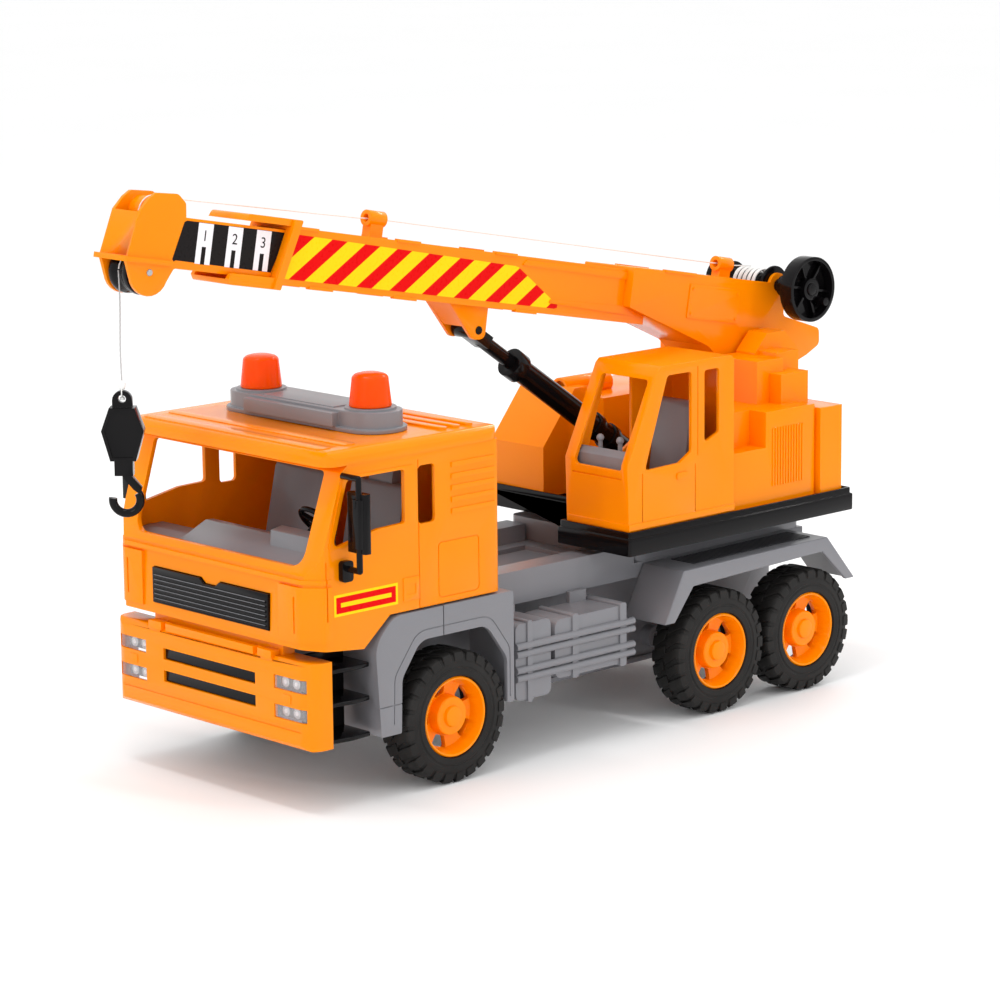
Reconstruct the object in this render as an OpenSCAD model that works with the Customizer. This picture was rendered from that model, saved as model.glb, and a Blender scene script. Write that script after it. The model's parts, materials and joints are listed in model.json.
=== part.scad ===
// Toy crane truck: three-axle chassis, driver's cab, full-circle turret and telescopic boom.
// +X is the truck's left side, -Y its front, +Z up, and the wheels stand on Z = 0.

/* [Wheels] */
// Radius of every tyre
wheel_r = 39.5; // [37:0.5:39.5]
// Width of every tyre
tyre_w = 24; // [18:1:24]
// Radius of the wheel rims
rim_r = 24; // [22:0.5:26]
// Radius of the steel axles
axle_r = 2.5; // [2:0.25:3]
// X of the outer faces of the tyres
track_outer = 92.5; // [92:0.5:94]

/* [Chassis] */
// Y of the front axle
front_axle_y = -111; // [-112:1:-110]
// Y of the middle axle
mid_axle_y = 113.5; // [113:0.5:115]
// Y of the rear axle
rear_axle_y = 195; // [194:0.5:196]
// Half width of the chassis deck
deck_half_w = 57; // [56:1:58]
// Height of the chassis deck
deck_top = 97; // [96:0.5:98]

/* [Cab] */
// Half width of the driver's cab
cab_half_w = 90.9; // [90:0.1:92]
// Wall of the moulded shells
wall = 2.4; // [2:0.1:2.6]
// Height of the cab below its roof cap
cab_top = 199; // [198:0.5:200]

/* [Turret] */
// Y of the vertical swing axis
swing_y = 148; // [146:1:150]
// Underside of the turret deck
turret_z = 112; // [112:0.1:112.4]
// Half width of the turret deck
turret_half_w = 93; // [92:0.5:94]

/* [Boom] */
// Y of the boom's pivot pin
pivot_y = 218; // [217:0.5:219]
// Z of the boom's pivot pin
pivot_z = 204; // [203:0.5:205]
// Rise of the boom above the horizontal at rest
boom_angle = 10.6; // [10:0.1:11]
// Radius of the boom's pivot pin
pivot_r = 5; // [4:0.5:6]
// Half width of the telescopic inner section
inner_half_w = 12.5; // [12:0.1:12.6]
// Radius of the rope
rope_r = 0.4; // [0.3:0.1:0.6]

/* [Hidden] */
$fn = 48;
orange = "darkorange";
grey = "slategray";
black = "dimgray";
steel = "silver";
fit = 0.05;
gap = 0.4;
wheel_z = wheel_r;
axle_ys = [front_axle_y, mid_axle_y, rear_axle_y];

// Chassis levels
rail_bottom = 27;
rail_in = 25;
rail_out = 28;
deck_skirt = 87.5;
side_rail_top = 108;
nose_bottom = 45;
nose_y = -160;
chassis_front = -203;
chassis_rear = 228;
rib_ys = [-158, -132, -88, -40, 8, 56, 92, 135, 172, 224];
screw_ys = [-132, -40, 56, 172];
screw_r = 1.2;

// Points of the boom's own frame: u runs forward from the pivot, w up from it
sheave_u = 492.7;
sheave_w = 12.8;
sheave_r = 13;
saddle_u = 486;
saddle_w = 46;
saddle_r = 9;
lug_u = 236.5;
lug_w = -0.2;
lug_pin_r = 2.5;
drum_u = -15.2;
drum_w = 49.4;
drum_axle_r = 4;
coil_r = 10;
guide_w = 58.4;
guide_rear_u = 17;
guide_front_u = 321.5;

// The same points in the truck's frame
function boom_y(u, w) = pivot_y - u * cos(boom_angle) + w * sin(boom_angle);
function boom_z(u, w) = pivot_z + u * sin(boom_angle) + w * cos(boom_angle);
sheave_y = boom_y(sheave_u, sheave_w);
sheave_z = boom_z(sheave_u, sheave_w);
rope_y = sheave_y - sheave_r + 1;
knot_top = 247;
knot_bottom = 241.9;
lug_y = boom_y(lug_u, lug_w);
lug_z = boom_z(lug_u, lug_w);

// The lifting cylinder leans from the boom's lug down to its foot in the turret
foot_y = 148;
foot_z = 136.5;
cyl_len = norm([foot_y - lug_y, foot_z - lug_z]);
cyl_angle = atan2(foot_z - lug_z, foot_y - lug_y);

// ---- helpers -------------------------------------------------------------

function corner_arc(a, p, b, r, n) =
    let (
        da = (a - p) / norm(a - p),
        db = (b - p) / norm(b - p),
        half = acos(da * db) / 2,
        mid = (da + db) / norm(da + db),
        c = p + mid * r / sin(half),
        s = p + da * r / tan(half),
        e = p + db * r / tan(half),
        t0 = atan2(s[1] - c[1], s[0] - c[0]),
        turn = atan2(e[1] - c[1], e[0] - c[0]) - t0,
        sweep = turn > 180 ? turn - 360 : turn < -180 ? turn + 360 : turn
    )
    [for (i = [0 : n]) c + r * [cos(t0 + sweep * i / n), sin(t0 + sweep * i / n)]];

// Outline with each corner rounded to radius r, or to r[i]; 0 keeps a corner sharp
function round_poly(pts, r, n = 5) =
    let (m = len(pts))
    [for (i = [0 : m - 1])
        let (ri = is_list(r) ? r[i] : r)
        each ri == 0 ? [pts[i]] :
            corner_arc(pts[(i + m - 1) % m], pts[i], pts[(i + 1) % m], ri, n)];

function box_pts(x0, x1, y0, y1) = [[x0, y0], [x1, y0], [x1, y1], [x0, y1]];

// A (Y, Z) outline extruded along X
module side(x0, x1, pts)
    translate([x0, 0, 0]) rotate([90, 0, 90]) linear_extrude(x1 - x0) polygon(pts);

// An (X, Z) outline extruded along Y
module front(y0, y1, pts)
    translate([0, y1, 0]) rotate([90, 0, 0]) linear_extrude(y1 - y0) polygon(pts);

// An (X, Y) outline extruded along Z
module plan(z0, z1, pts)
    translate([0, 0, z0]) linear_extrude(z1 - z0) polygon(pts);

module block(x0, x1, y0, y1, z0, z1)
    translate([x0, y0, z0]) cube([x1 - x0, y1 - y0, z1 - z0]);

module both_sides() {
    children();
    mirror([1, 0, 0]) children();
}

// A cylinder along X
module rod_x(x0, x1, y, z, r)
    translate([x0, y, z]) rotate([0, 90, 0]) cylinder(h = x1 - x0, r = r);

// A cylinder along Y
module rod_y(y0, y1, x, z, r)
    translate([x, y1, z]) rotate([90, 0, 0]) cylinder(h = y1 - y0, r = r);

// The boom's frame: -Y is forward along the boom, +Z up from its pivot
module in_boom()
    translate([0, pivot_y, pivot_z]) rotate([-boom_angle, 0, 0]) children();

// A (u, w) outline extruded along X in the boom's frame
module boom_side(x0, x1, pts)
    side(x0, x1, [for (p = pts) [-p[0], p[1]]]);

module boom_block(x0, x1, u0, u1, w0, w1)
    block(x0, x1, -u1, -u0, w0, w1);

// ---- chassis -------------------------------------------------------------

module chassis_frame() color(grey) difference() {
    union() {
        difference() {
            block(-deck_half_w, deck_half_w, chassis_front, chassis_rear, deck_skirt, deck_top);
            block(-deck_half_w + 3, deck_half_w - 3, chassis_front + 3, chassis_rear - 3,
                deck_skirt - 1, deck_top - 4);
        }
        both_sides() {
            block(rail_in, rail_out, chassis_front, chassis_rear, nose_bottom, deck_top - 3);
            block(rail_in, rail_out, nose_y, chassis_rear, rail_bottom, nose_bottom + 1);
        }
        block(-rail_in - 1, rail_in + 1, chassis_front, chassis_front + 3, nose_bottom, deck_top - 3);
        for (y = rib_ys) block(-rail_in - 1, rail_in + 1, y - 1.5, y + 1.5, rail_bottom, deck_top - 3);
        for (y = screw_ys) translate([0, y, rail_bottom]) cylinder(h = 20, r = 4);
        for (y = axle_ys) both_sides() rod_x(rail_out - 1, rail_out + 8, y, wheel_z, 7);
        // raised side rails beside the sunken strip behind the cab
        both_sides() block(40, deck_half_w, -70, 72, deck_top - 1, side_rail_top);
    }
    block(-30, 30, -60, 62, deck_top - 3, deck_top + 1);
    for (y = axle_ys) rod_x(-40, 40, y, wheel_z, axle_r + fit);
    for (y = screw_ys) translate([0, y, rail_bottom - 1]) cylinder(h = 15, r = screw_r + fit);
    translate([0, swing_y, deck_top - 6]) cylinder(h = 20, r = 8 + fit);
}

module belly_cover() color(grey) difference() {
    plan(24, rail_bottom, round_poly(box_pts(-30, 30, nose_y, chassis_rear - 2), 4));
    for (y = screw_ys) translate([0, y, 0]) {
        translate([0, 0, 22]) cylinder(h = 6, r = screw_r + 0.1);
        translate([0, 0, 23]) cylinder(h = 2.5, r = 3.2);
    }
}

module chassis_screws() color(steel)
    for (y = screw_ys) translate([0, y, 24.2]) {
        difference() {
            cylinder(h = 1.3, r = 3);
            for (a = [0, 90]) rotate([0, 0, a]) translate([-2, -0.35, -0.1]) cube([4, 0.7, 0.7]);
        }
        cylinder(h = 12, r = screw_r);
    }

module swing_pedestal() color(grey) difference() {
    plan(deck_top, turret_z - gap, round_poly(box_pts(-deck_half_w, deck_half_w, 74, 226), 6));
    plan(deck_top - 1, turret_z - gap - 3, round_poly(box_pts(-54, -2, 77, 132), 4));
    plan(deck_top - 1, turret_z - gap - 3, round_poly(box_pts(2, 54, 77, 132), 4));
    plan(deck_top - 1, turret_z - gap - 3, round_poly(box_pts(-54, -2, 164, 223), 4));
    plan(deck_top - 1, turret_z - gap - 3, round_poly(box_pts(2, 54, 164, 223), 4));
    translate([0, swing_y, 90]) cylinder(h = 30, r = 8 + fit);
}

// Arched front wing with its two legs, left side
module cab_fender() color(grey) difference() {
    cab_fender_body();
    // groove that follows the wheel opening, and the joints of its three lengths
    difference() {
        side(91.5, 93, round_poly([[-160, 30], [-158.6, 72], [-140.5, 96], [-83.5, 96], [-67.4, 74],
            [-67.4, 30]],
            [1, 12, 14, 14, 12, 1]));
        side(91, 94, round_poly([[-159.3, 29], [-157.9, 71.8], [-140.1, 95.3], [-83.9, 95.3],
            [-68.1, 73.8], [-68.1, 29]],
            [1, 12, 14, 14, 12, 1]));
        block(90, 95, -170, -60, 25, 44);
    }
    block(60, 95, -120.4, -119.6, 89, 120);
    block(91.4, 95, -175, -150, 55, 55.8);
}

module cab_fender_body() {
    arch = [[-168.8, 38], [-172.5, 93], [-158, 107.4], [-64.5, 107.4], [-64.5, 40.7], [-70, 40.7],
        [-70, 68], [-86, 90], [-138, 90], [-152.5, 70], [-153.5, 38]];
    radii = [1, 18, 14, 2, 1, 1, 10, 12, 12, 10, 1];
    side(89, 92, round_poly(arch, radii));
    thin = [[-168.8, 38], [-172.5, 93], [-158, 107.4], [-64.5, 107.4], [-64.5, 40.7], [-67.5, 40.7],
        [-67.5, 102], [-86, 104], [-138, 104], [-156, 88], [-165.8, 38]];
    side(deck_half_w + 0.1, 89.5, round_poly(thin, [1, 18, 14, 2, 1, 1, 2, 4, 4, 8, 1]));
}
module cab_fender_left() cab_fender();
module cab_fender_right() mirror([1, 0, 0]) cab_fender();

// Flat-topped wing over the two rear axles, left side
module rear_fender() color(grey) {
    outer = [[62.5, 64.5], [79.5, 96], [212, 97.4], [238.5, 67]];
    inner = [[230, 67], [207, 88.5], [88, 85], [71.5, 64.5]];
    side(90, turret_half_w, concat(outer, inner));
    side(57.2, 90.5, concat(outer, [[234, 67], [210.5, 94], [82, 92.6], [66.5, 64.5]]));
}
module rear_fender_left() rear_fender();
module rear_fender_right() mirror([1, 0, 0]) rear_fender();

// Storage boxes between the axles, left side
module tool_box() color(grey) {
    difference() {
        union() {
            side(57.2, 86, round_poly(box_pts(-57.5, -28.4, 37.5, 84), 4));
            side(57.2, 86, round_poly(box_pts(-24.9, 33.6, 45.4, 81.5), 5));
            block(57.2, 78, -29, -24, 48, 80);
            // straps around both boxes
            side(57.2, 87.2, round_poly(box_pts(-48.6, -44.6, 35.8, 85.6), 1.5));
            side(57.2, 87.2, round_poly(box_pts(-11.2, -6.4, 43.8, 83.2), 1.5));
            side(57.2, 87.2, round_poly(box_pts(29.2, 34.6, 43.8, 83.2), 1.5));
            for (z = [51.2, 56.2, 65.8, 70.6]) rod_y(-58, 41, 86.6, z, 2.2);
        }
        block(60, 84, -55, -31, 40, 81);
        block(60, 84, -22, 30, 48, 78.6);
    }
    // brackets under the deck's edge
    for (y = [-40, 20]) block(57.2, 60, y - 7, y + 7, 78, 88.5);
}
module tool_box_left() tool_box();
module tool_box_right() mirror([1, 0, 0]) tool_box();

// Black access steps between bumper and wing, left side
module cab_step() color(black) {
    for (z = [40.8, 62, 81.5])
        plan(z - 1.3, z + 1.3, round_poly([[62, -203], [87, -203], [89, -188], [88, -173.2],
            [62, -173.2]], 2));
    block(62, 65, -203, -173.2, 38, 88);
}
module cab_step_left() cab_step();
module cab_step_right() mirror([1, 0, 0]) cab_step();

// ---- front end -----------------------------------------------------------

bumper_front = -220;
slot_half = 42;
lamp_in = 58.5;
lamp_out = 85;

module bumper_plan(d, back)
    plan(30, 100, round_poly([[-90 + d, back], [-90 + d, bumper_front + d],
        [90 - d, bumper_front + d], [90 - d, back]], [0, 11 - d, 11 - d, 0]));

module bumper() color(orange) {
    difference() {
        intersection() {
            side(-91, 91, round_poly([[-220, 41], [-220, 85], [-216, 88.6], [-203.4, 88.6],
                [-203.4, 38], [-217, 38]],
                [2, 3, 2, 0, 0, 2]));
            bumper_plan(0, -203.4);
        }
        intersection() {
            side(-91, 91, [[-217.4, 41], [-217.4, 85.6], [-202, 85.6], [-202, 41]]);
            bumper_plan(2.6, -202);
        }
        for (z = [60.2, 73.6]) block(-slot_half, slot_half, -222, -215, z - 3.4, z + 3.4);
        both_sides() for (z = [58, 75]) block(lamp_in, lamp_out, -222, -207, z - 4, z + 4);
        // crease along the foot
        block(-95, 95, -224, -219.5, 48.4, 49.2);
        // step let into the top edge
        block(-58, 58, -216, -200, 84.4, 92);
    }
    // step, and the riser behind it up to the cab
    block(-58.5, 58.5, -216.4, -204, 83.2, 84.8);
    block(-58.5, 58.5, -212.5, -204, 84, 95.4);
    both_sides() block(lamp_in + 8, lamp_in + 15, -220.5, -219, 64, 69);
    difference() {
        union() {
            block(-56, 56, -219.6, -215.4, 87.4, 91.8);
            both_sides() block(46, 56, -219, -213, 84, 91.8);
        }
        both_sides() block(40, 44, -221, -215.8, 86, 93);
    }
}

module bumper_insert() color(black) {
    for (z = [60.2, 73.6]) block(-slot_half + 0.2, slot_half - 0.2, -218.6, -216, z - 3.2, z + 3.2);
    block(-46, 46, -217, -213.5, 52, 82);
}

module headlights() color("white")
    both_sides() for (z = [58, 75]) difference() {
        intersection() {
            block(lamp_in + 0.3, lamp_out - 0.3, -222, -207, z - 3.7, z + 3.7);
            bumper_plan(0.5, -206);
        }
        bumper_plan(3, -205);
    }

// Outline of the grille, with the notch in its top edge; d lets it out
function grille_pts(d) = [[-52.7 - d, 102.8 - d], [52.7 + d, 102.8 - d], [52.7 + d, 123.8 + d],
    [9 - d, 123.8 + d], [5 - d, 120.8 + d], [-5 + d, 120.8 + d], [-9 + d, 123.8 + d],
        [-52.7 - d, 123.8 + d]];

module radiator_grille() color(black) difference() {
    union() {
        front(-218.2, -213.6, grille_pts(0));
        for (i = [0 : 5]) block(-51, 51, -219, -218, 104.4 + 2.8 * i, 105.4 + 2.8 * i);
    }
    block(-48, 48, -215.5, -213, 105, 119);
}

// ---- driver's cab --------------------------------------------------------

roof_top = 207.4;
cab_side = [[-217.5, 96], [-216, 138], [-211.6, 144], [-194.6, 195.2], [-190, cab_top], [-73.4, cab_top],
    [-73.4, 108.6], [-160, 108.6], [-180, 92]];
cab_hollow = [[-214.8, 90], [-213.4, 137], [-209, 142.6], [-192.4, 193.4], [-188.6, 196.4],
    [-75.8, 196.4],
    [-75.8, 80], [-214.8, 80]];
door_window = [[-202.5, 153], [-191, 191], [-148, 191], [-148, 160.1], [-168, 159.5]];
rear_window = box_pts(-137.2, -124.5, 157.5, 191.4);
screen_window = [[-76, 141.6], [76, 141.6], [77, 194.6], [-77, 194.6]];

module cab_plan(z0, z1, d)
    plan(z0, z1, round_poly([[-cab_half_w + d, -73.4 - d], [-cab_half_w + d, -209 + d / 2],
        [-80, -217.6 + d],
        [80, -217.6 + d], [cab_half_w - d, -209 + d / 2], [cab_half_w - d, -73.4 - d]],
        [4, 5, 8, 8, 5, 4]));

// Engraved outline of a side panel
module seam_panel(y0, y1, z0, z1)
    difference() {
        side(cab_half_w - 0.5, 95, round_poly(box_pts(y0, y1, z0, z1), 3));
        side(cab_half_w - 1, 96, round_poly(box_pts(y0 + 0.7, y1 - 0.7, z0 + 0.7, z1 - 0.7), 2.4));
    }

module cab_shell() color(orange) difference() {
    union() {
        intersection() {
            side(-92, 92, cab_side);
            cab_plan(80, cab_top, 0);
        }
        // louvres behind the rear side window, wrapping the corner
        for (i = [0 : 4]) both_sides()
            block(cab_half_w - 0.4, cab_half_w + 0.8, -112, -78, 160 + 6.8 * i, 163 + 6.8 * i);
        // roof cap with rounded edges
        intersection() {
            plan(cab_top, roof_top, round_poly(box_pts(-91.6, 91.6, -206, -72.4), 9));
            side(-92, 92, round_poly([[-206, cab_top], [-206, roof_top], [-72.4, roof_top],
                [-72.4, cab_top]], [0, 6, 5, 0]));
            front(-207, -72, round_poly([[-91.6, cab_top], [-91.6, roof_top], [91.6, roof_top],
                [91.6, cab_top]],
                [0, 6, 6, 0]));
        }
        for (y = [-108, -98, -88]) plan(roof_top - 0.2, 208.6, round_poly(box_pts(-82, 82, y - 3,
            y + 3), 2.5));
        for (y = [-196, -178]) plan(roof_top - 0.2, 208, round_poly(box_pts(-80, 80, y - 5, y + 5), 3));
        both_sides() {
            // door handle and the frames around both side windows
            block(cab_half_w - 0.5, cab_half_w + 0.6, -150, -137.9, 114.5, 128);
            side(cab_half_w - 0.5, cab_half_w + 0.5, round_poly([[-206.5, 150.5], [-193.5, 193],
                [-140, 193],
                [-140, 158], [-166, 157]], [3, 4, 2, 2, 4]));
        }
        // brow under the windscreen, and the raised corner panels of the front
        intersection() {
            block(-95, 95, -222, -204, 133.4, 136);
            cab_plan(130, 140, -0.7);
        }
        both_sides() intersection() {
            block(62, 95, -222, -203.5, 99.5, 131.8);
            cab_plan(96, 135, -0.9);
        }
    }
    both_sides() {
        // door seams and the engraved panel behind the door
        block(cab_half_w - 0.6, 95, -137.7, -136.9, 108, 195);
        block(cab_half_w - 0.6, 95, -207.6, -206.8, 112, 146);
        seam_panel(-122.7, -90.5, 112, 145);
        block(cab_half_w + 0.2, 95, -147.5, -140.5, 118, 124);
        // slot in each corner panel
        block(75, 76.4, -225, -217.8, 105, 126);
    }
    block(-88, 88, -225, -217.3, 132.6, 133.4);
    intersection() {
        side(-92, 92, cab_hollow);
        cab_plan(70, cab_top, wall);
    }
    plan(cab_top - 5, 204.6, round_poly(box_pts(-84, 84, -186, -79), 8));
    front(-225, -182, round_poly(screen_window, [9, 9, 2.5, 2.5]));
    side(-95, 95, round_poly(door_window, [3, 4, 2, 2, 4]));
    side(-95, 95, round_poly(rear_window, 2.5));
    front(-222, -212, grille_pts(0.4));
}

module cab_interior() color(grey) {
    // floor on four posts that stand on the chassis deck
    block(-88.2, 88.2, -204, -78, 109, 112);
    both_sides() for (y = [-188, -100]) block(36, 46, y - 5, y + 5, deck_top, 110);
    // dashboard, lower on its right, with the instrument hood
    side(-86, -38, round_poly([[-209, 112], [-209, 138], [-196, 141], [-182, 141], [-182, 124],
        [-190, 112]], 2));
    side(-39, 86, round_poly([[-209, 112], [-209, 140], [-188, 149.5], [-181, 149], [-181, 124],
        [-190, 112]], 2));
    side(30, 63, round_poly([[-197, 142], [-196, 154.4], [-187, 156], [-184, 146]], 1));
    // bonded pair of seats
    for (x = [-35, 35]) {
        side(x - 23, x + 23, round_poly([[-150, 112], [-152, 128], [-128, 127], [-118, 172],
            [-110, 172], [-112, 112]], 3));
        side(x - 10, x + 10, round_poly([[-117, 171], [-114, 186], [-108, 186], [-109, 171]], 2));
    }
}

module steering_wheel() color(black)
    translate([43, -172, 157]) rotate([-50, 0, 0]) {
        rotate_extrude() translate([11.5, 0]) circle(r = 1.6, $fn = 24);
        for (a = [90, 210, 330]) rotate([0, 0, a]) block(2, 11, -1.5, 1.5, -1, 1);
        cylinder(h = 3, r = 3.6, center = true);
        translate([0, 0, -9]) cylinder(h = 9, r = 2);
    }

module light_bar() color(grey) {
    plan(207.6, 210, round_poly(box_pts(-70.5, 70.5, -154.5, -116.5), 18));
    plan(210, 219.4, round_poly(box_pts(-68, 68, -152, -119), 15.5));
    block(-40, 40, -157, -151, 210, 218);
    both_sides() translate([49, -135.5, 219.4]) cylinder(h = 1.4, r = 15);
    block(-32, 32, -149, -122, 219.2, 220);
}

module beacon() color("orangered")
    translate([49, -135.5, 220.9]) {
        cylinder(h = 17, r1 = 12.5, r2 = 10.6);
        translate([0, 0, 17]) cylinder(h = 1.6, r1 = 10.6, r2 = 9);
        translate([0, 0, 18.6]) cylinder(h = 0.9, r1 = 9, r2 = 5.6);
    }
module beacon_left() beacon();
module beacon_right() mirror([1, 0, 0]) beacon();

module mirror_unit() color(black) {
    mirror_bar_x = 104.5;
    rod_x(90.9, mirror_bar_x, -194, 193.5, 1.8);
    rod_x(93, mirror_bar_x, -194, 141, 1.8);
    translate([mirror_bar_x, -194, 141]) cylinder(h = 52.5, r = 1.8);
    for (z = [141, 193.5]) translate([mirror_bar_x, -194, z]) sphere(r = 1.8, $fn = 24);
    side(90.9, 94.6, round_poly(box_pts(-198, -190, 133.5, 145.5), 2));
    plan(151, 185, round_poly(box_pts(93.5, 109.5, -194, -188.6), 2));
    plan(154, 182, round_poly(box_pts(101, 108, -196.6, -190), 1.4));
}
module mirror_left() mirror_unit();
module mirror_right() mirror([1, 0, 0]) mirror_unit();

// ---- wheels --------------------------------------------------------------

rim_face = track_outer - 1;
rim_back = track_outer - tyre_w + 1;

module axle(y) color(steel) rod_x(-86, 86, y, wheel_z, axle_r);

// A ring turned about the axle: pts are (radius, x)
module turned(y, pts)
    translate([0, y, wheel_z]) rotate([0, 90, 0]) rotate_extrude($fn = 72) polygon(pts);

module tyre(y) color("darkslategray")
    turned(y, [[rim_r, track_outer - 2], [rim_r + 2, track_outer - 0.4], [30.5, track_outer],
        [35, track_outer - 0.6], [wheel_r, track_outer - 4], [wheel_r, track_outer - tyre_w + 4],
        [35, track_outer - tyre_w + 0.6], [rim_r + 2, track_outer - tyre_w],
            [rim_r, track_outer - tyre_w + 2]]);

module rim(y) color(orange) difference() {
    turned(y, [[0, rim_back + 4], [7, rim_back + 4], [7, rim_face - 14], [20, rim_face - 12.4],
        [21.6, rim_face - 14], [21.6, rim_face - 15.5], [rim_r - 0.1, rim_face - 15.5],
            [rim_r - 0.1, rim_face - 0.8],
        [23.2, rim_face], [22.2, rim_face - 0.4], [19.6, rim_face - 9], [12.2, rim_face - 10],
        [11.4, rim_face - 3.8], [10.8, rim_face - 3.2], [6.4, rim_face - 3.2], [5.9, rim_face - 1.4],
        [4.8, rim_face - 1], [0, rim_face - 1]]);
    translate([rim_back - 1, y, wheel_z]) rotate([0, 90, 0]) cylinder(h = 86.4 - rim_back + 1,
        r = axle_r + fit);
    for (a = [0 : 72 : 288]) translate([0, y, wheel_z]) rotate([a + 18, 0, 0])
        translate([rim_face - 16, 0, 0]) rotate([90, 0, 90])
            linear_extrude(14) polygon(round_poly([[-3.4, 12.5], [3.4, 12.5], [6.2, 19.3],
                [-6.2, 19.3]], 1.2));
}

module front_axle() axle(front_axle_y);
module front_tyre_left() tyre(front_axle_y);
module front_tyre_right() mirror([1, 0, 0]) tyre(front_axle_y);
module front_rim_left() rim(front_axle_y);
module front_rim_right() mirror([1, 0, 0]) rim(front_axle_y);
module mid_axle() axle(mid_axle_y);
module mid_tyre_left() tyre(mid_axle_y);
module mid_tyre_right() mirror([1, 0, 0]) tyre(mid_axle_y);
module mid_rim_left() rim(mid_axle_y);
module mid_rim_right() mirror([1, 0, 0]) rim(mid_axle_y);
module rear_axle() axle(rear_axle_y);
module rear_tyre_left() tyre(rear_axle_y);
module rear_tyre_right() mirror([1, 0, 0]) tyre(rear_axle_y);
module rear_rim_left() rim(rear_axle_y);
module rear_rim_right() mirror([1, 0, 0]) rim(rear_axle_y);

// ---- turret --------------------------------------------------------------

deck_floor = turret_z + 4;
deck_rim = turret_z + 14.6;
deck_front_left = 31.5;
deck_front_right = 85;
deck_rear = 236.7;
deck_notch_x = 30;

function deck_pts(d) = [[-turret_half_w + d, deck_front_right + d],
    [deck_notch_x + d, deck_front_right + d],
    [deck_notch_x + d, deck_front_left + d], [turret_half_w - d, deck_front_left + d],
    [turret_half_w - d, deck_rear - d], [-turret_half_w + d, deck_rear - d]];

module turret_deck() color(black) difference() {
    union() {
        plan(turret_z, deck_rim - 4, round_poly(deck_pts(0), 2));
        plan(deck_rim - 4, deck_rim, round_poly(deck_pts(1.2), 2));
    }
    plan(deck_floor, deck_rim + 1, round_poly(deck_pts(3.2), 1));
    translate([0, swing_y, turret_z - 1]) cylinder(h = 10, r = 8 + fit);
}

// Vertical pin that the turret turns on, with a snap head below the chassis deck
module turret_king_pin() color(black) translate([0, swing_y, 0]) {
    difference() {
        union() {
            translate([0, 0, 88]) cylinder(h = deck_floor - 88, r = 8);
            translate([0, 0, deck_floor]) cylinder(h = 2.6, r = 14);
            translate([0, 0, 88]) cylinder(h = 4, r1 = 8, r2 = 10);
        }
        translate([0, 0, 86]) cylinder(h = 24, r = 5);
    }
}

// Two cheeks that take the foot of the lifting cylinder between them
module cylinder_cheeks() color(black) translate([0, swing_y, 0])
    both_sides() block(9.4, 12.4, -8, 6, deck_floor + 2.7, foot_z + 5);

shell_z = deck_floor + 0.2;
engine_top = 183.7;
ledge_top = 161.3;
tower_in = 25.6;
tower_out = 42;
octagon_r = 21.5;

function octagon(r) = [for (a = [22.5 : 45 : 337.5]) [pivot_y + r * cos(a), pivot_z + r * sin(a)]];

// Outer blocks of one engine side: [x0, x1, y0, y1, top]
engine_blocks = [
    [26, 72, 129, 161, engine_top],
    [70, 86, 129, 161, ledge_top],
    [26, 86, 160.5, 206, engine_top],
    [26, 83, 205, 210, engine_top - 2],
    [26, 88.6, 209, 229.5, 180.8]
];
hood_side = [[88.4, shell_z], [88.4, 155], [117, 190], [129.6, 190], [129.6, shell_z]];

// Stepped covers around the octagonal head of the left boom tower
module tower_left(hollow) {
    d = hollow ? wall : 0;
    block(tower_in + d, 62 - d, 178.5 + d, 203 - d, engine_top - 9, 211 - d);
    block(tower_in + d, 57 - d, 202 + d, 223 - d, engine_top - 9, 213.5 - d);
    block(tower_in + d, 72 - d, 190 + d, 215.5 - d, engine_top - 9, 202.5 - d);
}

module turret_side(right) {
    difference() {
        union() {
            for (b = engine_blocks) block(b[0], b[1], b[2], b[3], shell_z, b[4]);
            if (!right) tower_left(false);
            side(tower_in, tower_out, octagon(octagon_r));
            block(tower_in, tower_out, 198, 229.5, engine_top - 20, pivot_z);
            // cooling ribs and the trim along the foot of the cover
            for (i = [0 : 11]) block(85.5, 86.7, 166.5 + 2.5 * i, 167.7 + 2.5 * i, 136, 173);
            block(85.5, 86.8, 130, 206, shell_z, shell_z + 9);
            block(88, 89.4, 210.5, 228, shell_z, shell_z + 9);
            if (right) {
                side(40, 88, hood_side);
                rod_y(118, 160, 55, 188, 7);
            }
        }
        for (b = engine_blocks) block(b[0] + wall, b[1] - wall, b[2] + wall, b[3] - wall, 100,
            b[4] - wall);
        if (!right) tower_left(true);
        if (right) side(40 + wall, 88 - wall, [[88.4 + wall, 100], [88.4 + wall, 154], [118, 187.6],
            [127.4, 187.6], [127.4, 100]]);
        rod_x(20, 50, pivot_y, pivot_z, pivot_r + fit);
        if (right) rod_y(117, 122, 55, 188, 5);
    }
}

module turret_housing() color(orange) {
    turret_side(false);
    mirror([1, 0, 0]) turret_side(true);
    // low wall closing the back between the two engine covers
    block(-25.8, 25.8, 226.5, 229.5, shell_z, 150);
}

operator_side = [[34.9, shell_z], [33.6, 167], [60, 222], [63, 224.6], [124.5, 224.6], [127.5, 221.6],
    [127.5, shell_z]];
operator_hollow = [[37.4, 100], [36.2, 166.6], [62.4, 221], [64.6, 222.2], [123, 222.2], [125, 220.4],
    [125, 100]];

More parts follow.
